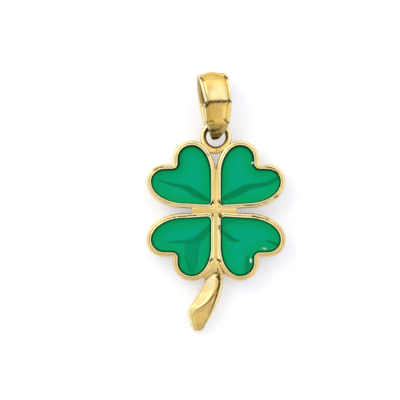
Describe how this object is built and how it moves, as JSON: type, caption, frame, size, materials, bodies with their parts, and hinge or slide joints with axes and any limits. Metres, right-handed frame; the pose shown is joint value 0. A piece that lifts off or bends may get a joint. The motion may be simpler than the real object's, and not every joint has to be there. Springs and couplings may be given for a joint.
{
  "type": "four leaf clover pendant",
  "caption": "Clover-shaped pendant with enamelled heart leaves in rounded metal rims, a curved stem, and a looped bail on a ring that hangs it from a chain.",
  "frame": {"origin": "centre of the clover, on the flat back that it lies on", "axes": "+X to the right across the leaves as seen from the front, +Y from the stem to the bail, +Z out of the front"},
  "size_m": [0.0104, 0.0193, 0.0026],
  "materials": {
    "gold": "polished cast yellow gold",
    "enamel": "glossy green enamel with a dished face"
  },
  "bodies": {
    "root": {"clover_frame": "gold", "bail": "gold", "enamel_upper_left": "enamel", "enamel_upper_right": "enamel", "enamel_lower_left": "enamel", "enamel_lower_right": "enamel"}
  },
  "joints": []
}
